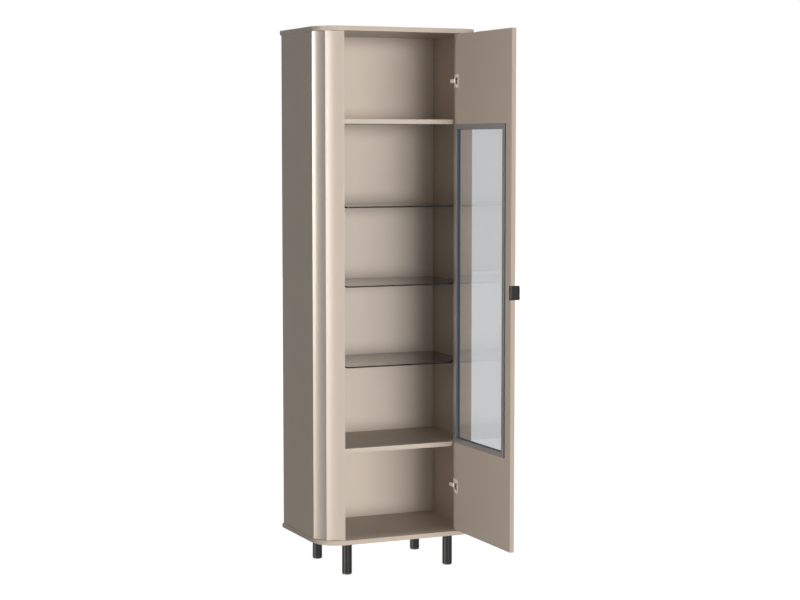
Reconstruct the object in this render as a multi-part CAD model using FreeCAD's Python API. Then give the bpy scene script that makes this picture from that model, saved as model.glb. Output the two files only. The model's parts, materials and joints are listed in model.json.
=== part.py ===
import FreeCAD, Part
import math
import os

# Tall display cabinet on four round legs: lacquered boards, fluted front corners, one glazed door on concealed hinges.
# x runs across the cabinet from its middle. y is first measured back from the front edge of the boards, and every
# finished piece then moves by front_y, which puts the origin under the middle of the whole outline. z is up.

# Overall sizes, mm
width = 620.0
depth = 386.0
height = 1900.0
leg_height = 113.0
door_open_angle = 90.0      # how far the door stands open as modelled

# Boards and panels
board = 16.0                # top, bottom and fixed shelves
board_corner = 96.0         # plan radius of the front corners
board_edge_chamfer = 0.8
panel = 16.0                # side panels
side_overhang = 5.0         # top and bottom boards beyond the side panels
front_overhang = 5.0        # boards beyond the pilasters and the closed door
back_overhang = 1.0
back_thickness = 3.0
back_rebate = 8.0           # how far the back panel runs into the sides and the boards
fit_gap = 0.2               # play of a piece in its rebate or groove

# Fluted corner pilasters
pilaster_width = 85.0       # across the front, up to the door opening
flute_reach = 84.0          # from the outer corner to the far edge of each flute
arris_reach = 25.3          # the edge between the two flutes, from the outer corner both ways
flute_turn = 33.0           # angle that each hollow turns through, degrees
jamb_depth = 55.0           # depth of the pilaster beside the door
tongue_width = 5.0          # tongue that runs into the side panel's front edge
tongue_length = 8.0

# Shelves
lower_compartment = 301.0   # clear height above the bottom board
upper_compartment = 299.0   # and below the top board
shelf_door_gap = 1.0        # between the shelves and the closed door's window frame
notch_clearance = 20.0      # room at the front corners for the hinges
shelf_clearance = 0.5       # shelves stay this far behind the pilasters
glass_shelf = 5.0
glass_shelf_rises = (0.254, 0.503, 0.747)   # tops, as parts of the height between the fixed shelves
glass_shelf_play = 1.0
shelf_corner = 4.0
fixed_shelf_corner = 2.0

# Door
leaf = 16.0
leaf_edge_chamfer = 0.6
hinge_gap = 3.5             # between the leaf and the pilaster on the hinge side
handle_gap = 6.5            # the same on the handle side, with room for the pull
leaf_end_gap = 3.0          # above and below the leaf
handle_stile = 41.5         # solid strips beside the window
hinge_stile = 5.0
window_frame_face = 16.0
window_frame_proud = 5.0    # frame stands out of the leaf's inner face
frame_groove = 8.0
frame_chamber = (4.0, 12.0)
gasket_wall = 0.8
door_glass = 4.0

# Concealed hinges
lower_hinge_rise = 157.0    # lower hinge from the leaf's bottom end
upper_hinge_drop = 162.0    # upper hinge from its top end
widest_opening = 105.0      # degrees
swing_gap = 0.5             # between the leaf and the pilaster at the widest opening
pin_radius = 1.5
pin_play = 0.05
knuckle_radius = 3.0
knuckle_height = 9.0
ear_height = 3.4
cup_radius = 13.0
cup_skin = 5.0              # leaf left in front of each cup
cup_wall = 1.0
cup_inset = 18.0            # cup centre from the leaf's hinge edge
flange_width = 26.0
flange_height = 49.0
flange_thickness = 1.0
arm_height = 13.5
arm_reach = 16.0            # arm stands off the pilaster by this much
arm_lead = 2.5              # front of the arm's body, behind the closed leaf's back face
arm_wall = 1.5
plate_thickness = 2.0
plate_height = 48.0
plate_screw_spacing = 32.0

# Pull on the door's free edge
pull_height = 48.0
pull_sheet = 1.6
pull_flange = 10.0
pull_grip = 20.0            # grip beyond the leaf's front face
pull_corner = 7.0
pull_curl = 12.3            # length of the grip that curls over the leaf's front
pull_curl_radius = 16.0
pull_screw_inset = 4.5      # screws from the flange's edge
pull_screw_spacing = 32.0

# Legs
leg_radius = 17.5
leg_wall = 1.5
leg_top = 3.0
leg_side_inset = 116.0
leg_front_inset = 54.0
leg_back_inset = 51.0
glide_thickness = 4.0
glide_radius = 16.5
glide_edge = 1.2
stud_radius = 4.0
stud_length = 13.0

# Fittings
hole_play = 0.1
dowel_radius = 4.0
dowel_length = 30.0
dowel_split = 11.0          # length of each dowel held in the board it enters face on
dowel_inset = 45.0          # dowels from the front and back edges of the side panels
shelf_housing = 5.0         # depth that the fixed shelves are let into the side panels
housing_inset = 14.0        # the housings stop short of the side panels' front edges
support_radius = 2.5
support_hole = 10.0
support_out = 9.0
support_width = 9.0
support_plate = 2.0
support_inset = 60.0

# Derived places
half = width / 2.0
side_out = half - side_overhang
side_in = side_out - panel
jamb = side_out - pilaster_width
pilaster_front = front_overhang
panel_front = pilaster_front + flute_reach
jamb_back = pilaster_front + jamb_depth
panel_back = depth - back_overhang
back_in = panel_back - back_thickness
tongue_x = side_in + 4.0
floor_top = leg_height + board
ceiling = height - board

leaf_hinge = jamb - hinge_gap
leaf_free = -jamb + handle_gap
leaf_front = front_overhang
leaf_back = leaf_front + leaf
past_square = math.radians(widest_opening - 90.0)
leaf_bottom = floor_top + leaf_end_gap
leaf_top = ceiling - leaf_end_gap
cup_depth = leaf - cup_skin
pin_y = leaf_front + cup_skin
pin_x = jamb - (cup_skin * (1.0 + math.sin(past_square)) + swing_gap) / math.cos(past_square)
hinge_heights = (leaf_bottom + lower_hinge_rise, leaf_top - upper_hinge_drop)
lower_shelf_top = floor_top + lower_compartment + board
upper_shelf_top = ceiling - upper_compartment
window_bottom = lower_shelf_top + 2.0
window_top = upper_shelf_top - board - 2.0
window_free = leaf_free + handle_stile
window_hinge = leaf_hinge - hinge_stile
frame_depth = leaf + window_frame_proud
shelf_setback = leaf_front + frame_depth + shelf_door_gap
arm_front_y = leaf_back + arm_lead
arm_back_y = jamb_back - 1.0
arm_middle_y = (arm_front_y + arm_back_y) / 2.0 + 2.5

# The open leaf reaches this far in front of the boards, and its pull is the foremost point
reach = (pin_x - leaf_free) + pull_sheet - pin_y
front_y = (reach - depth) / 2.0


def vec(x, y, z):
    return FreeCAD.Vector(x, y, z)


def box(x0, x1, y0, y1, z0, z1):
    return Part.makeBox(x1 - x0, y1 - y0, z1 - z0, vec(x0, y0, z0))


def rod(radius, length, start, direction=(0, 0, 1)):
    return Part.makeCylinder(radius, length, vec(*start), vec(*direction))


def prism(edges, z0, z1):
    face = Part.Face(Part.Wire(edges))
    return face.extrude(vec(0, 0, z1 - z0)).translated(vec(0, 0, z0))


def line(a, b):
    return Part.makeLine(vec(a[0], a[1], 0), vec(b[0], b[1], 0))


def polygon(points, z0, z1):
    return prism([line(a, b) for a, b in zip(points, points[1:] + points[:1])], z0, z1)


def mirrored(shape):
    return shape.mirror(vec(0, 0, 0), vec(1, 0, 0))


def rounded(shape, radius, chosen):
    return shape.makeFillet(radius, [edge for edge in shape.Edges if chosen(edge)])


def at_height(edge, z):
    return all(abs(vertex.Z - z) < 1e-4 for vertex in edge.Vertexes) and abs(edge.CenterOfMass.z - z) < 1e-4


def upright(edge):
    first, last = edge.Vertexes[0], edge.Vertexes[-1]
    return abs(first.Z - last.Z) > 1.0 and math.hypot(first.X - last.X, first.Y - last.Y) < 1e-4


def swung(shape):
    copy = shape.copy()
    copy.rotate(vec(pin_x, pin_y, 0), vec(0, 0, 1), door_open_angle)
    return copy


# Fastener places, shared by the pieces that they join
panel_middle = side_out - panel / 2.0
housing_front = panel_front + housing_inset
dowel_depths = (panel_front + dowel_inset, panel_back - dowel_inset)
fixed_shelf_tops = (lower_shelf_top, upper_shelf_top)
display_height = upper_shelf_top - board - lower_shelf_top
glass_tops = [lower_shelf_top + rise * display_height for rise in glass_shelf_rises]
support_depths = (panel_front + support_inset, back_in - support_inset)
leg_places = {
    "front_left": (-half + leg_side_inset, leg_front_inset),
    "front_right": (half - leg_side_inset, leg_front_inset),
    "back_left": (-half + leg_side_inset, depth - leg_back_inset),
    "back_right": (half - leg_side_inset, depth - leg_back_inset),
}
pull_middle = (leaf_bottom + leaf_top) / 2.0


def dowel_holes(extra):
    """Every dowel that stands upright in a joint with the top or the bottom board."""
    found = []
    for x, y in [(side * panel_middle, y) for side in (-1, 1) for y in dowel_depths]:
        found.append(rod(dowel_radius + extra, dowel_length + 2 * extra, (x, y, floor_top - dowel_split - extra)))
        found.append(rod(dowel_radius + extra, dowel_length + 2 * extra,
                         (x, y, ceiling + dowel_split - dowel_length - extra)))
    return found


def without(shape, cutters):
    near = [cutter for cutter in cutters if cutter.BoundBox.intersect(shape.BoundBox)]
    return shape.cut(Part.makeCompound(near)) if near else shape


def board_outline(z0, z1):
    """Rectangle with two round front corners."""
    r = board_corner
    s = r * (1.0 - math.sqrt(0.5))
    left = Part.Arc(vec(-half, r, 0), vec(-half + s, s, 0), vec(-half + r, 0, 0)).toShape()
    right = Part.Arc(vec(half - r, 0, 0), vec(half - s, s, 0), vec(half, r, 0)).toShape()
    edges = [left, line((-half + r, 0), (half - r, 0)), right]
    edges += [line((half, r), (half, depth)), line((half, depth), (-half, depth)), line((-half, depth), (-half, r))]
    return prism(edges, z0, z1)


def stud_holes():
    return [rod(stud_radius + pin_play, stud_length + hole_play, (x, y, leg_height)) for x, y in leg_places.values()]


def make_boards():
    rebate_x = side_in + back_rebate
    boards = {}
    for name, z0, z1, rebate in (
            ("bottom_board", leg_height, floor_top, (floor_top - back_rebate, floor_top)),
            ("top_board", ceiling, height, (ceiling, ceiling + back_rebate))):
        shape = board_outline(z0, z1)
        shape = shape.makeChamfer(board_edge_chamfer, [edge for edge in shape.Edges
                                                       if at_height(edge, z0) or at_height(edge, z1)])
        shape = shape.cut(box(-rebate_x, rebate_x, back_in, depth, *rebate))
        boards[name] = shape
    boards["top_board"] = without(boards["top_board"], dowel_holes(hole_play))
    boards["bottom_board"] = without(boards["bottom_board"], dowel_holes(hole_play) + stud_holes())
    return boards


def support_pins(extra):
    """Centre lines of the shelf supports' pins, drilled into the side panels below each glass shelf."""
    drop = glass_shelf + support_plate
    return [rod(support_radius + extra, support_hole + extra, (side * side_in, y, top - drop), (side, 0, 0))
            for side in (-1, 1) for y in support_depths for top in glass_tops]


def make_side_panels():
    """Panels grooved for the pilaster's tongue, rebated for the back panel and housed for the fixed shelves."""
    right = box(side_in, side_out, panel_front, panel_back, floor_top, ceiling)
    right = right.cut(box(side_in, side_in + back_rebate, back_in, panel_back, floor_top, ceiling))
    groove = box(tongue_x - fit_gap, tongue_x + tongue_width + fit_gap, panel_front,
                 panel_front + tongue_length + fit_gap, floor_top, ceiling)
    right = right.cut(groove)
    for top in fixed_shelf_tops:
        right = right.cut(box(side_in - 1.0, side_in + shelf_housing, housing_front, back_in, top - board, top))
    cutters = dowel_holes(hole_play) + support_pins(hole_play)
    return {"right_side_panel": without(right, cutters), "left_side_panel": without(mirrored(right), cutters)}


def flute(a, b):
    """Hollow arc between two edges of the pilaster, bulging towards the cabinet's inside."""
    chord = math.hypot(b[0] - a[0], b[1] - a[1])
    hollow = chord / 2.0 * math.tan(math.radians(flute_turn / 4.0))
    inward = ((b[1] - a[1]) / chord, -(b[0] - a[0]) / chord)
    middle = ((a[0] + b[0]) / 2.0 + inward[0] * hollow, (a[1] + b[1]) / 2.0 + inward[1] * hollow)
    return Part.Arc(vec(a[0], a[1], 0), vec(middle[0], middle[1], 0), vec(b[0], b[1], 0)).toShape()


def make_pilasters():
    front = pilaster_front
    side_edge = (side_out, front + flute_reach)
    arris = (side_out - arris_reach, front + arris_reach)
    front_edge = (side_out - flute_reach, front)
    edges = [flute(side_edge, arris), flute(arris, front_edge)]
    tongue_end = panel_front + tongue_length
    rest = [front_edge, (jamb, front), (jamb, jamb_back), (side_in, panel_front), (tongue_x, panel_front),
            (tongue_x, tongue_end), (tongue_x + tongue_width, tongue_end), (tongue_x + tongue_width, panel_front),
            side_edge]
    edges += [line(a, b) for a, b in zip(rest, rest[1:])]
    right = prism(edges, floor_top, ceiling)
    return {"right_pilaster": without(right, plate_screws(hole_play)), "left_pilaster": mirrored(right)}


def make_back():
    edge = side_in + back_rebate - fit_gap
    return {"back_panel": box(-edge, edge, back_in, panel_back, floor_top - back_rebate + fit_gap,
                              ceiling + back_rebate - fit_gap)}


def shelf_outline(half_width, back, z0, z1):
    """Full width behind the pilasters, with a narrower nose between them that leaves room for the hinges."""
    nose = jamb - notch_clearance
    shoulder = jamb_back + shelf_clearance
    side = panel_front + shelf_clearance
    right = [(nose, shelf_setback), (nose, shoulder), (jamb, shoulder), (half_width, side), (half_width, back)]
    points = right + [(-x, y) for x, y in reversed(right)]
    return polygon(points, z0, z1)


def nose_corner(edge):
    return upright(edge) and abs(edge.Vertexes[0].Y - shelf_setback) < 1e-4


def make_shelves():
    shelves = {}
    for name, top in (("lower_fixed_shelf", lower_shelf_top), ("upper_fixed_shelf", upper_shelf_top)):
        shape = shelf_outline(side_in, back_in, top - board, top)
        tenon_x = side_in + shelf_housing - fit_gap
        tenon = box(-tenon_x, tenon_x, housing_front + fit_gap, back_in, top - board, top)
        shelves[name] = rounded(shape.fuse(tenon).removeSplitter(), fixed_shelf_corner, nose_corner)
    for name, top in zip(("lower_glass_shelf", "middle_glass_shelf", "upper_glass_shelf"), glass_tops):
        shape = shelf_outline(side_in - glass_shelf_play, back_in - glass_shelf_play, top - glass_shelf, top)
        shelves[name] = rounded(shape, shelf_corner, nose_corner)
    return shelves


def shelf_support(pin):
    """A pin with a flat plate that the glass rests on, level with the pin's middle."""
    bounds = pin.BoundBox
    side = 1 if bounds.XMin > 0 else -1
    y = (bounds.YMin + bounds.YMax) / 2.0
    z = (bounds.ZMin + bounds.ZMax) / 2.0
    x0, x1 = sorted((side * side_in, side * (side_in - support_out)))
    plate = box(x0, x1, y - support_width / 2.0, y + support_width / 2.0, z, z + support_plate)
    lug = box(x0, x1, y - support_radius, y + support_radius, z - support_radius, z)
    return pin.fuse([plate, lug]).removeSplitter()


def make_legs():
    pieces = {}
    glides = []
    for place, (x, y) in leg_places.items():
        tube = rod(leg_radius, leg_height - glide_thickness, (x, y, glide_thickness))
        bore = rod(leg_radius - leg_wall, leg_height - glide_thickness - leg_top, (x, y, glide_thickness))
        stud = rod(stud_radius, stud_length, (x, y, leg_height))
        pieces[place + "_leg"] = tube.cut(bore).fuse(stud).removeSplitter()
        foot = rod(glide_radius, glide_thickness, (x, y, 0))
        glides.append(foot.makeChamfer(glide_edge, [edge for edge in foot.Edges if at_height(edge, 0)]))
    pieces["leg_glides"] = Part.makeCompound(glides)
    return pieces


def countersunk(radius, head, length, start, direction, extra=0.0):
    way = vec(*direction)
    shank = Part.makeCylinder(radius + extra, length + extra, vec(*start), way)
    cone = Part.makeCone(head + extra, radius + extra, head - radius, vec(*start), way)
    return shank.fuse(cone)


def plate_screws(extra):
    """Screws that hold each hinge's mounting plate to the right pilaster."""
    y = arm_middle_y
    return [countersunk(2.5, 4.2, 24.0, (jamb - plate_thickness, y, z + way * plate_screw_spacing / 2.0), (1, 0, 0),
                        extra) for z in hinge_heights for way in (-1, 1)]


def cup_pocket():
    """Drilling for the cup and the slot for the knuckle, cut from the leaf."""
    x = leaf_hinge - cup_inset
    slot_half = knuckle_height / 2.0 + ear_height + 0.4
    slot_front = pin_y - knuckle_radius - 0.5
    cutters = []
    for z in hinge_heights:
        cutters.append(rod(cup_radius + hole_play, cup_depth + hole_play, (x, leaf_back, z), (0, -1, 0)))
        cutters.append(box(x, leaf_hinge + 1.0, slot_front, leaf_back + 1.0, z - slot_half, z + slot_half))
    return cutters


def make_hinges():
    """Cup, pin, arm and plate. The pin stands on the line that the door turns about."""
    x = leaf_hinge - cup_inset
    cups, pins, arms, plates = [], [], [], []
    slot_half = knuckle_height / 2.0 + ear_height
    for z in hinge_heights:
        bowl = rod(cup_radius, cup_depth, (x, leaf_back, z), (0, -1, 0))
        bowl = bowl.cut(rod(cup_radius - cup_wall, cup_depth - cup_wall, (x, leaf_back, z), (0, -1, 0)))
        flange = box(x - flange_width / 2.0, x + flange_width / 2.0, leaf_back, leaf_back + flange_thickness,
                     z - flange_height / 2.0, z + flange_height / 2.0)
        corners = [edge for edge in flange.Edges if abs(edge.Vertexes[0].Y - edge.Vertexes[-1].Y) > 0.5]
        flange = flange.makeFillet(8.0, corners)
        flange = flange.cut(rod(cup_radius - cup_wall, 5.0, (x, leaf_back - 2.0, z), (0, 1, 0)))
        cup = bowl.fuse(flange)
        # The slot lets the knuckle in, and the two ears beside it hold the pin
        slot = box(x + 4.0, leaf_hinge + 1.0, pin_y - knuckle_radius - 1.0, leaf_back + 3.0,
                   z - knuckle_height / 2.0 - 0.3, z + knuckle_height / 2.0 + 0.3)
        for low in (z - slot_half, z + knuckle_height / 2.0 + 0.3):
            ear = box(x + cup_radius - 3.0, pin_x, pin_y - knuckle_radius, pin_y + knuckle_radius, low,
                      low + ear_height - 0.3)
            ear = ear.fuse(rod(knuckle_radius, ear_height - 0.3, (pin_x, pin_y, low)))
            cup = cup.fuse(ear)
        cup = cup.cut(slot)
        cup = cup.cut(rod(pin_radius + 0.02, 2 * slot_half + 2.0, (pin_x, pin_y, z - slot_half - 1.0)))
        cups.append(cup.removeSplitter())
        pins.append(rod(pin_radius, 2 * slot_half, (pin_x, pin_y, z - slot_half)))
        arms.append(hinge_arm(z))
        plates.append(hinge_plate(z))
    plates = [without(plate, plate_screws(hole_play)) for plate in plates]
    door_side = {"hinge_cups": Part.makeCompound(cups), "hinge_pins": Part.makeCompound(pins)}
    cabinet_side = {"hinge_arms": Part.makeCompound(arms), "hinge_mounting_plates": Part.makeCompound(plates),
                    "hinge_plate_screws": Part.makeCompound(plate_screws(0.0))}
    return door_side, cabinet_side


def hinge_plate(z):
    """Winged plate on the pilaster with a raised rail that the arm sits on."""
    y = arm_middle_y
    wing = box(jamb - plate_thickness, jamb, y - 9.0, y + 9.0, z - plate_height / 2.0, z + plate_height / 2.0)
    ends = [edge for edge in wing.Edges if abs(edge.Vertexes[0].X - edge.Vertexes[-1].X) > 0.5]
    wing = wing.makeFillet(7.0, ends)
    rail_half = arm_height / 2.0 - arm_wall - 0.2
    rail = box(jamb - arm_reach + arm_wall + 3.0, jamb, y - 14.0, y + 14.0, z - rail_half, z + rail_half)
    return wing.fuse(rail).removeSplitter()


def hinge_arm(z):
    """Pressed channel with its open side to the pilaster, narrowing to the knuckle at its nose."""
    outer_x = jamb - arm_reach
    y0 = arm_front_y
    y1 = arm_back_y
    body = box(outer_x, jamb - plate_thickness - 0.5, y0, y1, z - arm_height / 2.0, z + arm_height / 2.0)
    body = rounded(body, 3.0, lambda edge: upright(edge) and abs(edge.Vertexes[0].X - outer_x) < 1e-4)
    hollow = box(outer_x + arm_wall, jamb, y0 + arm_wall, y1 + 1.0, z - arm_height / 2.0 + arm_wall,
                 z + arm_height / 2.0 - arm_wall)
    body = body.cut(hollow)
    knuckle = rod(knuckle_radius, knuckle_height, (pin_x, pin_y, z - knuckle_height / 2.0))
    neck_points = [(pin_x - knuckle_radius, pin_y), (pin_x + knuckle_radius - 1.0, pin_y),
                   (pin_x + knuckle_radius - 1.0, y0 + arm_wall), (pin_x - knuckle_radius, y0 + arm_wall)]
    neck = polygon(neck_points, z - knuckle_height / 2.0, z + knuckle_height / 2.0)
    arm = body.fuse([knuckle, neck]).cut(rod(pin_radius + pin_play, arm_height * 2, (pin_x, pin_y, z - arm_height)))
    return arm.removeSplitter()


def make_leaf():
    shape = box(leaf_free, leaf_hinge, leaf_front, leaf_back, leaf_bottom, leaf_top)
    shape = shape.makeChamfer(leaf_edge_chamfer, shape.Edges)
    window = box(window_free, window_hinge, leaf_front - 5.0, leaf_back + 5.0, window_bottom, window_top)
    return shape.cut(window)


def frame_ring(inset, y0, y1):
    """Solid rectangle inside the window's outline, inset all round, between two depths."""
    return box(window_free + inset, window_hinge - inset, y0, y1, window_bottom + inset, window_top - inset)


def make_window():
    """Four mitred members with a glazing groove and a chamber for the corner keys, the gasket and the pane."""
    y0 = leaf_front
    y1 = leaf_front + frame_depth
    face = window_frame_face
    middle = (y0 + y1) / 2.0
    glass_y = (middle - door_glass / 2.0, middle + door_glass / 2.0)
    groove_y = (glass_y[0] - gasket_wall, glass_y[1] + gasket_wall)
    ring = frame_ring(fit_gap, y0, y1).cut(frame_ring(face, y0 - 1.0, y1 + 1.0))
    ring = ring.cut(frame_ring(face - frame_groove, groove_y[0], groove_y[1]))
    chamber_y = (middle - frame_chamber[1] / 2.0, middle + frame_chamber[1] / 2.0)
    chamber_out, chamber_in = 2.0, 2.0 + frame_chamber[0]
    chamber = frame_ring(chamber_out, *chamber_y).cut(frame_ring(chamber_in, *chamber_y))
    ring = ring.cut(chamber)
    pieces = {}
    far = face * 3.0
    x0, x1, z0, z1 = window_free, window_hinge, window_bottom, window_top
    wedges = {
        "window_frame_top": [(x0 - far, z1 + far), (x1 + far, z1 + far), (x1 - far, z1 - far), (x0 + far, z1 - far)],
        "window_frame_bottom": [(x0 - far, z0 - far), (x0 + far, z0 + far), (x1 - far, z0 + far),
                                (x1 + far, z0 - far)],
        "window_frame_handle_side": [(x0 - far, z0 - far), (x0 - far, z1 + far), (x0 + far, z1 - far),
                                     (x0 + far, z0 + far)],
        "window_frame_hinge_side": [(x1 + far, z0 - far), (x1 - far, z0 + far), (x1 - far, z1 - far),
                                    (x1 + far, z1 + far)],
    }
    for name, corners in wedges.items():
        wire = Part.makePolygon([vec(x, y0 - 5.0, z) for x, z in corners + corners[:1]])
        wedge = Part.Face(wire).extrude(vec(0, frame_depth + 10.0, 0))
        pieces[name] = ring.common(wedge)
    pane = frame_ring(face - frame_groove + 1.0, *glass_y)
    seal = frame_ring(face - frame_groove + 0.1, groove_y[0] + 0.05, groove_y[1] - 0.05)
    seal = seal.cut(frame_ring(face + 0.6, groove_y[0] - 1.0, groove_y[1] + 1.0))
    pieces["door_glass"] = pane
    pieces["glass_gasket"] = seal.cut(pane)
    pieces["window_corner_keys"] = Part.makeCompound(corner_keys(chamber_out, chamber_in, chamber_y))
    return pieces


def corner_keys(chamber_out, chamber_in, chamber_y):
    """L-shaped keys in the chambers, which hold the mitres together."""
    outer = frame_ring(chamber_out + 0.1, chamber_y[0] + 0.1, chamber_y[1] - 0.1)
    band = outer.cut(frame_ring(chamber_in - 0.1, chamber_y[0] - 1.0, chamber_y[1] + 1.0))
    arm = 34.0
    keys = []
    for x in (window_free, window_hinge):
        for z in (window_bottom, window_top):
            keys.append(band.common(box(x - arm, x + arm, chamber_y[0] - 1.0, chamber_y[1] + 1.0, z - arm, z + arm)))
    return keys


def pull_screws(extra):
    x = leaf_free + pull_flange - pull_screw_inset
    return [countersunk(1.6, 3.0, 12.0, (x, leaf_back + pull_sheet, pull_middle + way * pull_screw_spacing / 2.0),
                        (0, -1, 0), extra) for way in (-1, 1)]


def make_pull():
    """Bent sheet: a flange screwed to the leaf's inner face, a wing over the edge, and a grip that curls forward."""
    z0 = pull_middle - pull_height / 2.0
    z1 = pull_middle + pull_height / 2.0
    x0 = leaf_free - pull_sheet
    x1 = leaf_free + pull_flange
    tip = leaf_front - pull_grip
    curl_start = tip + pull_curl
    wing = box(x0, leaf_free, curl_start, leaf_back + pull_sheet, z0, z1)
    flange = box(x0, x1, leaf_back, leaf_back + pull_sheet, z0, z1)
    centre = (x0 + pull_curl_radius, curl_start, z0)
    curl = rod(pull_curl_radius, pull_height, centre)
    curl = curl.cut(rod(pull_curl_radius - pull_sheet, pull_height, centre))
    curl = curl.common(box(x0, x0 + pull_curl_radius, tip, curl_start, z0, z1))
    shape = wing.fuse([flange, curl]).removeSplitter()
    bend = 2.2
    shape = rounded(shape, bend, lambda edge: upright(edge) and abs(edge.Vertexes[0].X - x0) < 1e-4
                    and abs(edge.Vertexes[0].Y - leaf_back - pull_sheet) < 1e-4)
    # The outline rounds the grip's corners through the curl
    outline = box(x0 - 1.0, x1 + 1.0, tip, leaf_back + pull_sheet + 1.0, z0, z1)
    outline = rounded(outline, pull_corner, lambda edge: abs(edge.Vertexes[0].X - edge.Vertexes[-1].X) > 1.0
                      and abs(edge.Vertexes[0].Y - tip) < 1e-4)
    return without(shape.common(outline), pull_screws(hole_play))


def make_fittings():
    return {
        "dowels": Part.makeCompound(dowel_holes(0.0)),
        "shelf_supports": Part.makeCompound([shelf_support(pin) for pin in support_pins(0.0)]),
    }


def build():
    door_hinges, cabinet_hinges = make_hinges()
    cabinet = {}
    for group in (make_boards(), make_side_panels(), make_pilasters(), make_back(), make_shelves(), make_legs(),
                  make_fittings(), cabinet_hinges):
        cabinet.update(group)
    door = {"door_panel": without(make_leaf(), cup_pocket() + pull_screws(hole_play))}
    door.update(make_window())
    door.update(door_hinges)
    door["door_pull"] = make_pull()
    door["door_pull_screws"] = Part.makeCompound(pull_screws(0.0))
    nodes = dict(cabinet)
    nodes.update({name: swung(shape) for name, shape in door.items()})
    return {name: shape.translated(vec(0, front_y, 0)) for name, shape in nodes.items()}


os.makedirs("parts", exist_ok=True)
for node, solid in build().items():
    solid.exportStep("parts/" + node + ".step")
    print(node, len(solid.Solids), solid.isValid())
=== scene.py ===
import bmesh
import bpy
import json
import math
import numpy as np
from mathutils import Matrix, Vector

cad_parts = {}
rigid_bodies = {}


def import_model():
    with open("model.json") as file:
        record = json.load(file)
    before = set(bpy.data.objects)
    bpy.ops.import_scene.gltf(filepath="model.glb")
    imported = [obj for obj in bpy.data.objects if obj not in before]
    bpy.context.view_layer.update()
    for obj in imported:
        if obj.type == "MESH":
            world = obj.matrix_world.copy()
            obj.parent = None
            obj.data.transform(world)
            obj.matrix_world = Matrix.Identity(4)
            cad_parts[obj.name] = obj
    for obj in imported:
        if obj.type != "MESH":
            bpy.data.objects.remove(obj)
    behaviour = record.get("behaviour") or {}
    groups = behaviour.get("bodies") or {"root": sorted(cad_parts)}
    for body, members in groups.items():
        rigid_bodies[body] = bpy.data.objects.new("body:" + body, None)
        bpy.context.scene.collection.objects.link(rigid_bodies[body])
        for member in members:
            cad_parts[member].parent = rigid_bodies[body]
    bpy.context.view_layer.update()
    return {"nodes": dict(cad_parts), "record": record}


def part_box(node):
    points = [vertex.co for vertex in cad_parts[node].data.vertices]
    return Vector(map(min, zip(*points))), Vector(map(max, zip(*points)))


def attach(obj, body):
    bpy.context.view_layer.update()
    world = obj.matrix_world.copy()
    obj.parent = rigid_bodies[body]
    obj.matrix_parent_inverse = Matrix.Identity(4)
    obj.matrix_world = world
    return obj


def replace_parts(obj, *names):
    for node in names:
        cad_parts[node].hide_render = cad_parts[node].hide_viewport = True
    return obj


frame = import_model()
nodes = frame["nodes"]
print("frame loaded:", len(nodes), "nodes")

view = {
    "place": (-2.71807, -6.02733, 1.50510),
    "turn": -24.0983,    # degrees about the upright, to the right of straight back
    "dip": 4.7096,       # degrees below the horizon
    "lens": 86.0771,
    "sensor": 36.0,
    "farEnd": 60.0,
}


def makeCamera():
    data = bpy.data.cameras.new("camera")
    data.lens = view["lens"]
    data.sensor_width = view["sensor"]
    data.clip_end = view["farEnd"]
    camera = bpy.data.objects.new("camera", data)
    camera.location = view["place"]
    camera.rotation_euler = (math.radians(90.0 - view["dip"]), 0.0, math.radians(view["turn"]))
    bpy.context.scene.collection.objects.link(camera)
    bpy.context.scene.camera = camera


makeCamera()
print("camera set")

# bearing: degrees from the cabinet's left towards its front; height: degrees above level
# spread: how wide the lamp looks, in degrees
# power: light on a face turned to the lamp, where 1 shows a colour as it is written
# sheen: the same for gloss alone
lamps = {
    "frontPanel": {"bearing": 88.0, "height": 0.5, "spread": 16.0, "power": 0.325},
    "frontRight": {"bearing": 97.0, "height": 0.5, "spread": 18.0, "power": 0.455},
    "frontLeft": {"bearing": 79.0, "height": 0.5, "spread": 16.0, "power": 0.07},
    "leftStrip": {"bearing": 3.0, "height": 1.0, "spread": 8.0, "power": 0.235},
    "leftGleam": {"bearing": 12.0, "height": 3.0, "spread": 12.0, "sheen": 2.0, "colour": (1.0, 0.92, 0.84)},
    "backRight": {"bearing": 216.0, "height": 3.0, "spread": 12.0, "power": 0.55},
    "backPanel": {"bearing": -93.0, "height": 3.0, "spread": 8.0, "power": 0.45},
    "overhead": {"bearing": 88.0, "height": 88.0, "spread": 14.0, "power": 0.22},
}
lampRing = {"middle": (0.0, 0.0, 0.95), "radius": 4.0}
# a tall soft box before the open door
nearLamp = {"place": (-0.30, -0.65, 0.95), "aim": (0.0, 0.05, 0.95), "wide": 0.2, "tall": 3.2, "watts": 4.6}
# the light from all round, and the plain white that rays see behind everything
surroundings = {"ambient": ((1.0, 0.99, 0.98), 0.015), "seen": ((1.0, 1.0, 1.0), 1.0)}


def hangLamp(name, data, place, shining):
    body = bpy.data.objects.new(name, data)
    body.location = place
    body.rotation_euler = shining.to_track_quat("-Z", "Y").to_euler()
    bpy.context.scene.collection.objects.link(body)
    return body


def makeLamps():
    for name, lamp in lamps.items():
        data = bpy.data.lights.new(name, "SUN")
        data.angle = math.radians(lamp["spread"])
        data.energy = math.pi * lamp.get("power", lamp.get("sheen"))
        data.color = lamp.get("colour", (1.0, 1.0, 1.0))
        bearing, height = math.radians(lamp["bearing"]), math.radians(lamp["height"])
        level = math.cos(height)
        outward = Vector((-math.cos(bearing) * level, -math.sin(bearing) * level, math.sin(height)))
        body = hangLamp(name, data, Vector(lampRing["middle"]) + outward * lampRing["radius"], -outward)
        body.visible_diffuse = "power" in lamp


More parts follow.
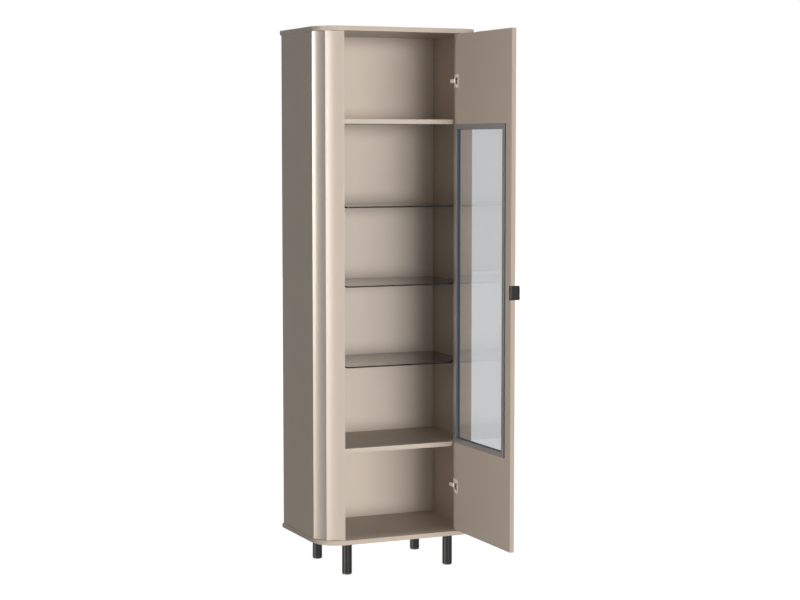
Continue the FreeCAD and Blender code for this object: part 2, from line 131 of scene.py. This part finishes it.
def makeNearLamp():
    data = bpy.data.lights.new("nearLamp", "AREA")
    data.shape = "RECTANGLE"
    data.size, data.size_y = nearLamp["wide"], nearLamp["tall"]
    data.energy = nearLamp["watts"]
    body = hangLamp("nearLamp", data, nearLamp["place"], Vector(nearLamp["aim"]) - Vector(nearLamp["place"]))
    body.visible_camera = False


def seenBackground(tree):
    # 1 for the rays that show a background: straight from the camera, mirrored by gloss or sent on by glass
    rays = tree.nodes.new("ShaderNodeLightPath")
    total = rays.outputs["Is Camera Ray"]
    for kind in ("Is Glossy Ray", "Is Transmission Ray"):
        either = tree.nodes.new("ShaderNodeMath")
        either.operation = "MAXIMUM"
        tree.links.new(total, either.inputs[0])
        tree.links.new(rays.outputs[kind], either.inputs[1])
        total = either.outputs[0]
    return total


def makeWorld():
    world = bpy.data.worlds.new("studio")
    bpy.context.scene.world = world
    world.use_nodes = True
    tree = world.node_tree
    tree.nodes.clear()
    out = tree.nodes.new("ShaderNodeOutputWorld")
    mix = tree.nodes.new("ShaderNodeMixShader")
    tree.links.new(seenBackground(tree), mix.inputs["Fac"])
    for socket, kind in ((1, "ambient"), (2, "seen")):
        colour, strength = surroundings[kind]
        light = tree.nodes.new("ShaderNodeBackground")
        light.inputs["Color"].default_value = (*colour, 1.0)
        light.inputs["Strength"].default_value = strength
        tree.links.new(light.outputs[0], mix.inputs[socket])
    tree.links.new(mix.outputs[0], out.inputs["Surface"])


makeLamps()
makeNearLamp()
makeWorld()
bpy.context.scene.view_settings.view_transform = "Standard"
print("lamps and world set")


def newFinish(name):
    finish = bpy.data.materials.new(name)
    finish.use_nodes = True
    tree = finish.node_tree
    tree.nodes.clear()
    out = tree.nodes.new("ShaderNodeOutputMaterial")
    shader = tree.nodes.new("ShaderNodeBsdfPrincipled")
    tree.links.new(shader.outputs["BSDF"], out.inputs["Surface"])
    return finish, tree, shader


def pattern(tree, scale, detail, stretch=(1.0, 1.0, 1.0)):
    # noise that sits on the piece; a small stretch along one axis draws it out into lines that way
    place = tree.nodes.new("ShaderNodeTexCoord")
    mapping = tree.nodes.new("ShaderNodeMapping")
    mapping.inputs["Scale"].default_value = stretch
    noise = tree.nodes.new("ShaderNodeTexNoise")
    noise.inputs["Scale"].default_value = scale
    noise.inputs["Detail"].default_value = detail
    tree.links.new(place.outputs["Object"], mapping.inputs["Vector"])
    tree.links.new(mapping.outputs["Vector"], noise.inputs["Vector"])
    return noise.outputs["Fac"]


def ramp(tree, source, low, high, start=0.3, end=0.7):
    spread = tree.nodes.new("ShaderNodeMapRange")
    spread.inputs["From Min"].default_value = start
    spread.inputs["From Max"].default_value = end
    spread.inputs["To Min"].default_value = low
    spread.inputs["To Max"].default_value = high
    tree.links.new(source, spread.inputs["Value"])
    return spread.outputs["Result"]


def blendColour(tree, factor, first, second):
    mix = tree.nodes.new("ShaderNodeMix")
    mix.data_type = "RGBA"
    tree.links.new(factor, mix.inputs["Factor"])
    mix.inputs[6].default_value = (*first, 1.0)
    mix.inputs[7].default_value = (*second, 1.0)
    return mix.outputs[2]


def mottle(tree, shader, source, first, second):
    # the base colour wanders between two colours with the pattern
    tree.links.new(blendColour(tree, ramp(tree, source, 0.0, 1.0), first, second), shader.inputs["Base Color"])


def varyGloss(tree, shader, source, gloss, swing):
    tree.links.new(ramp(tree, source, gloss - swing, gloss + swing), shader.inputs["Roughness"])


def addBump(tree, shader, height, strength, distance):
    bump = tree.nodes.new("ShaderNodeBump")
    bump.inputs["Strength"].default_value = strength
    bump.inputs["Distance"].default_value = distance
    tree.links.new(height, bump.inputs["Height"])
    tree.links.new(bump.outputs["Normal"], shader.inputs["Normal"])


def scaled(colour, share):
    return [channel * share for channel in colour]


lacquer = {
    "colour": (0.500, 0.422, 0.350),
    "cloud": 9.0,           # grain of the cloudiness in the colour
    "cloudShade": 0.976,    # its darker side
    "haze": 35.0,           # grain of the cloudiness in the gloss
    "swing": 0.02,
    "peel": 700.0,          # grain of the orange peel
    "bump": (0.02, 0.0002),    # its strength and its height
}


def lacquerFinish(name, shine, gloss, tone=(1.0, 1.0, 1.0)):
    # a faint cloudiness in the colour and the gloss, and the fine orange peel of a sprayed coat
    finish, tree, shader = newFinish(name)
    colour = [channel * part for channel, part in zip(lacquer["colour"], tone)]
    cloud = pattern(tree, lacquer["cloud"], detail=3.0)
    mottle(tree, shader, cloud, scaled(colour, lacquer["cloudShade"]), colour)
    varyGloss(tree, shader, pattern(tree, lacquer["haze"], detail=4.0), gloss, lacquer["swing"])
    shader.inputs["Specular IOR Level"].default_value = shine
    addBump(tree, shader, pattern(tree, lacquer["peel"], detail=2.0), *lacquer["bump"])
    return finish


glass = {"smear": 6.0, "passed": 0.97}    # grain of the smears; share of the tint that shadows keep


def glassFinish(name, tint, dust, index=1.5):
    # clear for shadows and for scattered light, so that what stands behind the pane is lit through it
    finish, tree, shader = newFinish(name)
    shader.inputs["Base Color"].default_value = (*tint, 1.0)
    shader.inputs["Transmission Weight"].default_value = 1.0
    shader.inputs["IOR"].default_value = index
    smear = pattern(tree, glass["smear"], detail=3.0)
    tree.links.new(ramp(tree, smear, 0.0, dust), shader.inputs["Roughness"])
    rays = tree.nodes.new("ShaderNodeLightPath")
    clear = tree.nodes.new("ShaderNodeBsdfTransparent")
    clear.inputs["Color"].default_value = (*scaled(tint, glass["passed"]), 1.0)
    through = tree.nodes.new("ShaderNodeMath")
    through.operation = "MAXIMUM"
    tree.links.new(rays.outputs["Is Shadow Ray"], through.inputs[0])
    tree.links.new(rays.outputs["Is Diffuse Ray"], through.inputs[1])
    mix = tree.nodes.new("ShaderNodeMixShader")
    surface = shader.outputs["BSDF"].links[0].to_socket
    tree.links.new(through.outputs[0], mix.inputs["Fac"])
    tree.links.new(shader.outputs["BSDF"], mix.inputs[1])
    tree.links.new(clear.outputs["BSDF"], mix.inputs[2])
    tree.links.new(mix.outputs["Shader"], surface)
    return finish


metal = {"shade": 0.9, "swing": 0.05, "deep": 0.0002}    # the colour in a line, the gloss to either side, the bump


def metalFinish(name, colour, gloss, grain, stretch=(1.0, 1.0, 1.0), bump=0.05):
    finish, tree, shader = newFinish(name)
    shader.inputs["Metallic"].default_value = 1.0
    lines = pattern(tree, grain, detail=4.0, stretch=stretch)
    mottle(tree, shader, lines, scaled(colour, metal["shade"]), colour)
    varyGloss(tree, shader, lines, gloss, metal["swing"])
    addBump(tree, shader, lines, bump, metal["deep"])
    return finish


coat = {"tint": 1.25, "swing": 0.04, "deep": 0.0003}    # the colour on a grain, the gloss to either side, the bump


def coatFinish(name, colour, gloss, grain, bump, shine=0.5):
    finish, tree, shader = newFinish(name)
    shader.inputs["Specular IOR Level"].default_value = shine
    grains = pattern(tree, grain, detail=3.0)
    mottle(tree, shader, grains, colour, scaled(colour, coat["tint"]))
    varyGloss(tree, shader, grains, gloss, coat["swing"])
    addBump(tree, shader, grains, bump, coat["deep"])
    return finish


# dark and darkGloss: the colour and the gloss of the painted shade
plating = {"grain": 500.0, "dark": (0.02, 0.02, 0.021), "darkGloss": 0.5, "blend": 0.0003, "bump": 0.02}


def platingAndShadeFinish(name, colour, gloss, axis, edge, way):
    # bright plating with painted shade: the colour goes dark on the far side of a plane across one axis, where the
    # hinge works in its cup's shade
    finish, tree, shader = newFinish(name)
    shader.inputs["Metallic"].default_value = 1.0
    lines = pattern(tree, plating["grain"], detail=4.0)
    place = tree.nodes.new("ShaderNodeTexCoord")
    split = tree.nodes.new("ShaderNodeSeparateXYZ")
    tree.links.new(place.outputs["Object"], split.inputs[0])
    blend = way * plating["blend"]
    side = ramp(tree, split.outputs[axis], 0.0, 1.0, edge - blend, edge + blend)
    bright = blendColour(tree, ramp(tree, lines, 0.0, 1.0), scaled(colour, metal["shade"]), colour)
    shaded = blendColour(tree, side, colour, plating["dark"])
    tree.links.new(bright, shaded.node.inputs[6])
    tree.links.new(shaded, shader.inputs["Base Color"])
    tree.links.new(ramp(tree, side, gloss, plating["darkGloss"], 0.0, 1.0), shader.inputs["Roughness"])
    addBump(tree, shader, lines, plating["bump"], metal["deep"])
    return finish


beech = {
    "grain": 60.0,
    "along": (1.0, 1.0, 0.1),    # the grain runs up and down
    "dark": (0.42, 0.27, 0.15),
    "pale": (0.6, 0.43, 0.26),
    "gloss": 0.6,
}


def turnedWoodFinish():
    finish, tree, shader = newFinish("turnedBeech")
    grain = pattern(tree, beech["grain"], detail=4.0, stretch=beech["along"])
    mottle(tree, shader, grain, beech["dark"], beech["pale"])
    shader.inputs["Roughness"].default_value = beech["gloss"]
    return finish


aluminium = {"colour": (0.42, 0.445, 0.475), "gloss": 0.42, "grain": 420.0}
# the finish for each slot
finishes = {
    "lacquer": lacquerFinish("satinLacquer", shine=0.015, gloss=0.22),
    "tinted_glass": glassFinish("greyGlass", (0.55, 0.57, 0.59), dust=0.01),
    "grey_aluminium": metalFinish("uprightAluminium", **aluminium, stretch=(1.0, 1.0, 0.02)),
    "bright_metal": metalFinish("nickelPlate", (0.78, 0.77, 0.74), gloss=0.24, grain=500.0, bump=0.02),
    "black_metal": coatFinish("blackPowderCoat", (0.006, 0.006, 0.006), gloss=0.32, grain=1500.0, bump=0.12,
                              shine=0.22),
    "black_plastic": coatFinish("blackMoulding", (0.014, 0.014, 0.014), gloss=0.5, grain=900.0, bump=0.1),
    "black_rubber": coatFinish("blackRubber", (0.015, 0.015, 0.015), gloss=0.65, grain=1200.0, bump=0.1),
    "bare_wood": turnedWoodFinish(),
}
# the solid fluted pieces take a finer polish and a colour a little darker, which is painted shade on their lamp-lit
# faces
mouldingLacquer = lacquerFinish("mouldingLacquer", shine=0.36, gloss=0.32, tone=(0.97, 0.97, 0.98))
# the thin back board takes the coat a shade lighter, which is painted light on the back wall inside the cabinet
backLacquer = lacquerFinish("backLacquer", shine=0.01, gloss=0.24, tone=(1.14, 1.17, 1.21))
# brushed along the frame's level members, as its upright ones are by the slot's own finish
levelAluminium = metalFinish("levelAluminium", **aluminium, stretch=(1.0, 0.02, 1.0))
shelfGlass = glassFinish("bronzeGlass", (0.23, 0.205, 0.18), dust=0.01, index=1.45)
# the beads' dark grey is partly their own colour and partly painted shade on the frame's inner flanks beside the pane
beadCoat = coatFinish("greyBead", (0.08, 0.085, 0.095), gloss=0.5, grain=900.0, bump=0.1, shine=0.3)
# these nodes share a slot but show a finish of their own
ownFinishes = {
    "back_panel": backLacquer,
    "left_pilaster": mouldingLacquer,
    "right_pilaster": mouldingLacquer,
    "window_frame_top": levelAluminium,
    "window_frame_bottom": levelAluminium,
    "lower_glass_shelf": shelfGlass,
    "middle_glass_shelf": shelfGlass,
    "upper_glass_shelf": shelfGlass,
    # painted shade inside the cups, and on the arms towards their knuckles
    "hinge_cups": platingAndShadeFinish("cupPlatingAndShade", (0.80, 0.78, 0.75), gloss=0.26, axis="X", edge=0.2023, way=1.0),
    "hinge_arms": platingAndShadeFinish("armPlatingAndShade", (0.82, 0.80, 0.77), gloss=0.22, axis="Y", edge=0.0385, way=-1.0),
}


def dressNodes():
    slots = {entry["node"]: entry["material_slot"] for entry in frame["record"]["subparts"]}
    for name, body in nodes.items():
        body.data.materials.clear()
        body.data.materials.append(ownFinishes.get(name, finishes[slots[name]]))


dressNodes()
print("finishes made:", len(finishes))

shielded = {
    "pane": ("door_glass",),
    "metal": ("window_frame_top", "window_frame_bottom", "window_frame_handle_side", "window_frame_hinge_side",
              "hinge_arms"),
    "metalLamps": ("frontPanel", "frontRight", "leftStrip", "leftGleam"),
}


def leaveOut(name, pieces):
    # a group of pieces that a lamp passes over
    group = bpy.data.collections.new(name)
    for piece in pieces:
        group.objects.link(nodes[piece])
    for member in group.collection_objects:
        member.light_linking.link_state = "EXCLUDE"
    return group


def shieldFromLamps():
    # the flat pane would mirror each lamp as a hard white disc, and the brushed frame would show plain white
    # at some turns of the door
    pane = leaveOut("paneLeftOut", shielded["pane"])
    paneAndMetal = leaveOut("paneAndMetalLeftOut", shielded["pane"] + shielded["metal"])
    for body in bpy.context.scene.objects:
        if body.type == "LIGHT":
            body.light_linking.receiver_collection = paneAndMetal if body.name in shielded["metalLamps"] else pane


shieldFromLamps()
print("pane and metal shielded")


def gridFaces(rows, columns, start):
    # quads between neighbouring rings of a grid; each ring joins its last point to its first
    first = np.arange(rows - 1)[:, None] * columns
    here = np.arange(columns)[None, :]
    ahead = (here + 1) % columns
    corners = np.stack([first + here, first + columns + here, first + columns + ahead, first + ahead], axis=-1)
    return corners.reshape(-1, 4) + start


def capped(grid):
    # a first and a last ring shrunk to the middle of their neighbour close both ends
    return np.concatenate([grid[:1] * 0 + grid[0].mean(axis=0), grid, grid[:1] * 0 + grid[-1].mean(axis=0)])


weldWithin = 1e-6


def smoothMesh(name, points, faces, finish):
    mesh = bpy.data.meshes.new(name)
    mesh.from_pydata(points.tolist(), [], faces.tolist())
    mesh.polygons.foreach_set("use_smooth", np.ones(len(mesh.polygons), dtype=bool))
    mesh.materials.append(finish)
    return mesh


def placed(name, mesh):
    piece = bpy.data.objects.new(name, mesh)
    bpy.context.scene.collection.objects.link(piece)
    return piece


def makePiece(name, grids, slot, body, crease=35.0):
    points = np.concatenate([grid.reshape(-1, 3) for grid in grids])
    starts = np.cumsum([0] + [grid.shape[0] * grid.shape[1] for grid in grids[:-1]])
    faces = np.concatenate([gridFaces(grid.shape[0], grid.shape[1], start) for grid, start in zip(grids, starts)])
    mesh = smoothMesh(name, points, faces, finishes[slot])
    shape = bmesh.new()
    shape.from_mesh(mesh)
    bmesh.ops.remove_doubles(shape, verts=shape.verts, dist=weldWithin)
    bmesh.ops.recalc_face_normals(shape, faces=shape.faces)
    shape.to_mesh(mesh)
    shape.free()
    mesh.set_sharp_from_angle(angle=math.radians(crease))
    piece = placed(name, mesh)
    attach(piece, body)
    return piece


def stood(grid, spot, outward):
    # moves a shape worked out about the upright so that its axis points outward from the spot
    outward = np.array(outward, dtype=float)
    across = np.cross((0.0, 0.0, 1.0), outward)
    upward = np.cross(outward, across)
    return np.array(spot) + grid[..., :1] * across + grid[..., 1:2] * upward + grid[..., 2:] * outward


# head: its radius, its dome and the depth of its cross; cone: how deep it goes; shank: its radius; length: in all
screws = {
    "cup": {"head": 0.0034, "dome": 0.0004, "cross": 0.0012, "cone": 0.0012, "shank": 0.0017, "length": 0.011},
    "plate": {"head": 0.0042, "dome": 0.0004, "cross": 0.0014, "cone": 0.0024, "shank": 0.0024, "length": 0.0238},
    "arm": {"head": 0.0032, "dome": 0.0002, "cross": 0.0013, "cone": 0.0003, "shank": 0.0030, "length": 0.0065},
    "pull": {"head": 0.003, "dome": 0.0003, "cross": 0.0010, "cone": 0.0016, "shank": 0.0016, "length": 0.0118},
}
# the cross recess in shares of the head's radius, then the power by which it deepens
recess = {"halfArm": 0.14, "side": 0.05, "reach": 0.62, "fade": 0.25, "power": 0.6}
screwSteps = {"around": 64, "out": 17}


def screwShape(head, dome, cross, cone, shank, length):
    # head: height is dome times one minus the square of the radius, less a cross recess that is deepest in the
    # middle and shallows along its arms; below the rim a cone, a shank and a tip
    turn = np.linspace(0.0, 2.0 * math.pi, screwSteps["around"], endpoint=False)
    out = np.linspace(0.0, 1.0, screwSteps["out"])[:, None]
    x, y = out * np.cos(turn), out * np.sin(turn)
    arm = np.clip((recess["halfArm"] - np.minimum(abs(x), abs(y))) / recess["side"], 0.0, 1.0)
    reach = np.clip((recess["reach"] - np.maximum(abs(x), abs(y))) / recess["fade"], 0.0, 1.0)
    height = dome * (1.0 - out ** 2) - cross * arm * reach ** recess["power"]
    rings = [(x * head, y * head, height)]
    for wide, deep in ((shank, cone), (shank, length - 2.0 * shank), (0.0, length)):
        rings.append((wide * np.cos(turn)[None], wide * np.sin(turn)[None], 0.0 * turn[None] - deep))
    return np.concatenate([np.stack(ring, axis=-1) for ring in rings])


def screwsAt(kind, spots):
    # every screw here is driven in from the cabinet's left
    return [stood(screwShape(**screws[kind]), spot, (-1, 0, 0)) for spot in spots]


cupLow, cupHigh = (np.array(corner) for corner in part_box("hinge_cups"))
armLow = np.array(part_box("hinge_arms")[0])
pullLow, pullHigh = (np.array(corner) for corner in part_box("door_pull"))
leafLow, leafHigh = (np.array(corner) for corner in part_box("door_panel"))
hinges = {
    "half": 0.0245,         # half the flange's height
    "cup": 0.013,           # cup's radius
    "cupScrews": 0.0185,    # above and below the middle
    "plateScrews": 0.016,   # likewise
    "armFront": 0.0165,     # front of the arm's body, behind its knuckle
    "armScrews": (0.0095, 0.0265),    # behind that front
    "armProud": 0.0002,     # how far the arm's screws stand off it
}
hingeHeights = (cupLow[2] + hinges["half"], cupHigh[2] - hinges["half"])
cupMiddle = cupLow[1] + hinges["cup"]


def makeHingeScrews():
    spots = [(cupLow[0], cupMiddle, z + way)
             for z in hingeHeights for way in (-hinges["cupScrews"], hinges["cupScrews"])]
    makePiece("cupScrews", screwsAt("cup", spots), "bright_metal", "door")
    low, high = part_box("hinge_plate_screws")
    spots = [(low[0], (low[1] + high[1]) / 2.0, z + way)
             for z in hingeHeights for way in (-hinges["plateScrews"], hinges["plateScrews"])]
    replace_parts(makePiece("plateScrews", screwsAt("plate", spots), "bright_metal", "cabinet"), "hinge_plate_screws")
    face, front = armLow[0] - hinges["armProud"], armLow[1] + hinges["armFront"]
    spots = [(face, front + behind, z) for z in hingeHeights for behind in hinges["armScrews"]]
    makePiece("armScrews", screwsAt("arm", spots), "bright_metal", "cabinet")


capSize = {"radius": 0.0118, "chord": -0.0015, "level": 0.0002, "thick": 0.0016, "round": 0.0004}
capSteps = {"arc": 41, "chord": 7}


def makeCupCaps():
    # outline: an arc of the cup's circle, closed by a chord on the hinge side; drawn in where the face's edge rounds
    radius, chord, edge = capSize["radius"], capSize["chord"], capSize["round"]
    end = math.acos(chord / radius)
    turn = np.linspace(end, 2.0 * math.pi - end, capSteps["arc"])
    straight = np.linspace(-1.0, 1.0, capSteps["chord"] + 2)[1:-1]
    y = np.concatenate([radius * np.cos(turn), straight * 0.0 + chord])
    z = np.concatenate([radius * np.sin(turn), straight * radius * math.sin(end)])
    middle = np.array([y.mean(), z.mean()])
    face, halfway = cupLow[0] + capSize["level"], 0.3 * edge    # halfway round the rounding
    grids = []
    for height in hingeHeights:
        rings = []
        for inset, deep in ((edge, 0.0), (halfway, halfway), (0.0, edge), (0.0, capSize["thick"])):
            ring = middle + (np.stack([y, z], axis=-1) - middle) * (1.0 - inset / radius)
            rings.append(np.column_stack([face + deep + 0.0 * y, cupMiddle + ring[:, 0], height + ring[:, 1]]))
        grids.append(capped(np.stack(rings)))
    makePiece("cupCaps", grids, "bright_metal", "door")


makeHingeScrews()
makeCupCaps()
print("hinges fitted")

pull = {
    "sheet": 0.0016,
    "bend": 0.0014,      # radius of the bend onto the leaf's edge
    "curl": 0.0152,      # radius of the curl at the tip
    "turn": 50.0,        # degrees that it curls
    "corner": 0.007,
    "screws": 0.016,     # above and below the middle
    "inset": 0.0045,     # from the wing's back end
    "soft": 0.0003,      # rounding of its edges, where they turn by more than the crease
    "crease": 50.0,
}
pullSteps = {"wing": 6, "bend": 7, "edge": 8, "curl": 15, "height": 9}


def makePull():
    # a section carried up the pull: along the leaf's inner face, round a small bend, over its free edge, and round
    # the curl; the height shrinks near the tip by a quarter circle
    half = pull["sheet"] / 2.0
    inner, edge, back = leafLow[0] - half, pullLow[1] + half, pullHigh[1]
    bend, curl = pull["bend"], pull["curl"]
    turn = math.radians(pull["turn"])
    curlStart = pullHigh[0] - (curl + half) * math.sin(turn)
    corner = np.linspace(0.0, math.pi / 2.0, pullSteps["bend"])
    sweep = np.linspace(0.0, turn, pullSteps["curl"])
    wing = np.linspace(back, edge + bend, pullSteps["wing"] + 1)[:-1]
    flat = np.linspace(inner + bend, curlStart, pullSteps["edge"] + 2)[1:-1]
    x = np.concatenate([inner + 0.0 * wing, inner + bend * (1.0 - np.cos(corner)),
                        flat, curlStart + curl * np.sin(sweep)])
    y = np.concatenate([wing, edge + bend * (1.0 - np.sin(corner)),
                        edge + 0.0 * flat, edge + curl * (1.0 - np.cos(sweep))])
    run = np.concatenate([[0.0], np.cumsum(np.hypot(np.diff(x), np.diff(y)))])
    left = np.clip(pull["corner"] - (run[-1] - run), 0.0, pull["corner"])
    tall = (pullHigh[2] - pullLow[2]) / 2.0 - pull["corner"] + np.sqrt(pull["corner"] ** 2 - left ** 2)
    across = np.linspace(-1.0, 1.0, pullSteps["height"])
    middle = (pullHigh[2] + pullLow[2]) / 2.0
    x, y, z = x[:, None] + 0.0 * across, y[:, None] + 0.0 * across, middle + tall[:, None] * across
    grid = np.stack([x, y, z], axis=-1)
    rows, columns = grid.shape[:2]
    first = np.arange(rows - 1)[:, None] * columns + np.arange(columns - 1)[None, :]
    faces = first[..., None] + np.array([0, columns, columns + 1, 1])
    mesh = smoothMesh("pull", grid.reshape(-1, 3), faces.reshape(-1, 4), finishes["black_metal"])
    piece = placed("pull", mesh)
    wall = piece.modifiers.new("wall", "SOLIDIFY")
    wall.thickness = pull["sheet"]
    wall.offset = 0.0
    soften = piece.modifiers.new("soften", "BEVEL")
    soften.width = pull["soft"]
    soften.segments = 2
    soften.limit_method = "ANGLE"
    soften.angle_limit = math.radians(pull["crease"])
    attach(piece, "door")
    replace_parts(piece, "door_pull")
    spots = [(pullLow[0], back - pull["inset"], middle + way) for way in (-pull["screws"], pull["screws"])]
    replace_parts(makePiece("pullScrews", screwsAt("pull", spots), "black_metal", "door"), "door_pull_screws")


makePull()
print("pull fitted")

# the left ends of the fixed shelves have no hinge to clear, so a lacquered block squares each of them off
shelfEnds = {"wide": 0.020, "deep": 0.0335, "gap": 0.0001, "round": 0.0004}
fixedShelves = ("lower_fixed_shelf", "upper_fixed_shelf")
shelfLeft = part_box("left_pilaster")[1][0] + shelfEnds["gap"]
quarterTurn = np.linspace(0.0, math.pi / 2.0, 5)    # angles round a small rounded edge


def makeShelfEnds():
    # outline: a rectangle with a small quarter circle at each corner; drawn in as much at the top and bottom
    edge = shelfEnds["round"]
    halfWide, halfDeep = shelfEnds["wide"] / 2.0, shelfEnds["deep"] / 2.0
    turn = np.concatenate([quarterTurn + quarter * math.pi / 2.0 for quarter in range(4)])
    side = np.repeat(np.array([[1, 1], [-1, 1], [-1, -1], [1, -1]]), len(quarterTurn), axis=0)
    grids = []
    for name in fixedShelves:
        low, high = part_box(name)
        rings = []
        for z, inset in ((low[2], edge), (low[2] + edge, 0.0), (high[2] - edge, 0.0), (high[2], edge)):
            x = shelfLeft + halfWide + side[:, 0] * (halfWide - edge) + (edge - inset) * np.cos(turn)
            y = low[1] + halfDeep + side[:, 1] * (halfDeep - edge) + (edge - inset) * np.sin(turn)
            rings.append(np.column_stack([x, y, z + 0.0 * x]))
        grids.append(capped(np.stack(rings)))
    makePiece("shelfEnds", grids, "lacquer", "cabinet")


makeShelfEnds()
print("shelf ends squared")

edgeBand = {"thick": 0.0006, "round": 0.0005, "stop": 0.0022}    # stop: how far short of the right notch it ends


def makeEdgeBands():
    # section: flat against the shelf's front, with a quarter circle at the top and bottom of its outer face
    rounding, thick = edgeBand["round"], edgeBand["thick"]
    opening, closing = rounding * (1.0 - np.cos(quarterTurn)), rounding * (1.0 - np.sin(quarterTurn))
    right = -shelfLeft - shelfEnds["wide"] - edgeBand["stop"]
    grids = []
    for name in fixedShelves:
        low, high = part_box(name)
        out = np.concatenate([[0.0], thick - closing, thick - opening, [0.0]])
        up = np.concatenate([[low[2]], low[2] + opening, high[2] - closing, [high[2]]])
        rings = [np.column_stack([x + 0.0 * up, low[1] - out, up]) for x in (shelfLeft, right)]
        grids.append(capped(np.stack(rings)))
    bands = makePiece("edgeBands", grids, "lacquer", "cabinet")
    bands.data.materials[0] = mouldingLacquer


makeEdgeBands()
print("shelf edges banded")

seals = {
    "outer": {"thick": 0.0012, "tall": 0.0034, "round": 0.0005},    # beside the frame, on the leaf
    "bead": {"thick": 0.0014, "tall": 0.0068, "round": 0.0006},     # on the glass, against the frame
    "short": 0.0008,    # how far the outer seal stops before the leaf's hinge edge
}


def sealSection(size):
    # upright beside the frame, then over a quarter circle at the outer top corner: out from the frame, and up
    thick, tall, rounding = size["thick"], size["tall"], size["round"]
    out = np.concatenate([[0.0, 0.0, thick], thick - rounding * (1.0 - np.cos(quarterTurn))])
    up = np.concatenate([[tall, 0.0, 0.0], tall - rounding * (1.0 - np.sin(quarterTurn))])
    return out, up


def sealAround(size, spots, face, way):
    # the section at each corner of its path; a spot is y and z, then the way out from the frame in each
    out, up = sealSection(size)
    rings = [np.column_stack([face + way * up, y + aside * out, z + above * out]) for y, z, aside, above in spots]
    return np.stack(rings)


def makeWindowSeals():
    # each section goes round a rectangle with square corners: three sides outside the frame, four sides inside it
    low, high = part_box("window_frame_bottom")[0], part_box("window_frame_top")[1]
    hinge = leafHigh[1] - seals["short"]
    spots = [(hinge, low[2], 0.0, -1.0), (low[1], low[2], -1.0, -1.0),
             (low[1], high[2], -1.0, 1.0), (hinge, high[2], 0.0, 1.0)]
    outer = capped(sealAround(seals["outer"], spots, leafLow[0], -1.0))
    makePiece("windowSeal", [outer], "black_rubber", "door")
    free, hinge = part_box("window_frame_handle_side")[1][1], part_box("window_frame_hinge_side")[0][1]
    bottom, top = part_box("window_frame_bottom")[1][2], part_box("window_frame_top")[0][2]
    spots = [(free, bottom, 1.0, 1.0), (hinge, bottom, -1.0, 1.0),
             (hinge, top, -1.0, -1.0), (free, top, 1.0, -1.0), (free, bottom, 1.0, 1.0)]
    paneLow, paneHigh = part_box("door_glass")
    grids = [sealAround(seals["bead"], spots, paneLow[0], -1.0), sealAround(seals["bead"], spots, paneHigh[0], 1.0)]
    beads = makePiece("glazingBeads", grids, "grey_aluminium", "door")
    beads.data.materials[0] = beadCoat


makeWindowSeals()
print("window sealed")

backNails = {
    "edge": 0.0035,      # from the panel's edge
    "first": 0.03,       # the first and last of a side, from the panel's ends
    "head": 0.0022,
    "proud": 0.0005,
    "perSide": 11,
    "perRow": 5,
    "around": 12,
}
# the dome's rings: how far out each lies, and at what share of the radius its height is taken
nailRings = {"out": (0.0, 0.4, 0.75, 1.0, 1.0, 0.0), "fall": (0.0, 0.4, 0.75, 0.95, 1.5, 1.5)}


def makeBackNails():
    # low domes: height falls with the square of the radius, down to just under the panel's face
    low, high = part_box("back_panel")
    turn = np.linspace(0.0, 2.0 * math.pi, backNails["around"], endpoint=False)
    out = np.array(nailRings["out"])[:, None] * backNails["head"]
    rise = backNails["proud"] * (1.0 - np.array(nailRings["fall"])[:, None] ** 2)
    dome = np.stack([out * np.cos(turn), out * np.sin(turn), rise + 0.0 * turn], axis=-1)
    aside = high[0] - backNails["edge"]
    heights = np.linspace(low[2] + backNails["first"], high[2] - backNails["first"], backNails["perSide"])
    spots = [(side, z) for side in (-aside, aside) for z in heights]
    shelves = [sum(corner[2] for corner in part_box(name)) / 2.0 for name in fixedShelves]
    rows = [low[2] + backNails["edge"], high[2] - backNails["edge"]] + shelves
    spots += [(x, z) for z in rows for x in np.linspace(-aside, aside, backNails["perRow"] + 2)[1:-1]]
    makePiece("backNails", [stood(dome, (x, high[1], z), (0, 1, 0)) for x, z in spots], "bright_metal", "cabinet")


makeBackNails()
print("back panel nailed")

# lift: the white that the floor adds to itself where it is seen
floorSize = {"half": 14.0, "tone": 0.25, "gloss": 0.9, "shine": 0.1, "lift": 0.95}


def makeFloor():
    half, tone = floorSize["half"], floorSize["tone"]
    mesh = bpy.data.meshes.new("floor")
    corners = [(x * half, y * half, 0.0) for x, y in ((-1, -1), (1, -1), (1, 1), (-1, 1))]
    mesh.from_pydata(corners, [], [(0, 1, 2, 3)])
    floor = placed("floor", mesh)
    finish, tree, shader = newFinish("paleFloor")
    shader.inputs["Base Color"].default_value = (tone, tone, tone, 1.0)
    shader.inputs["Roughness"].default_value = floorSize["gloss"]
    shader.inputs["Specular IOR Level"].default_value = floorSize["shine"]
    lift = tree.nodes.new("ShaderNodeMath")
    lift.operation = "MULTIPLY"
    lift.inputs[1].default_value = floorSize["lift"]
    tree.links.new(seenBackground(tree), lift.inputs[0])
    tree.links.new(lift.outputs[0], shader.inputs["Emission Strength"])
    shader.inputs["Emission Color"].default_value = (1.0, 1.0, 1.0, 1.0)
    mesh.materials.append(finish)
    floor.visible_shadow = False    # the level lamps reach the object from just under its edge too


makeFloor()
print("floor laid")
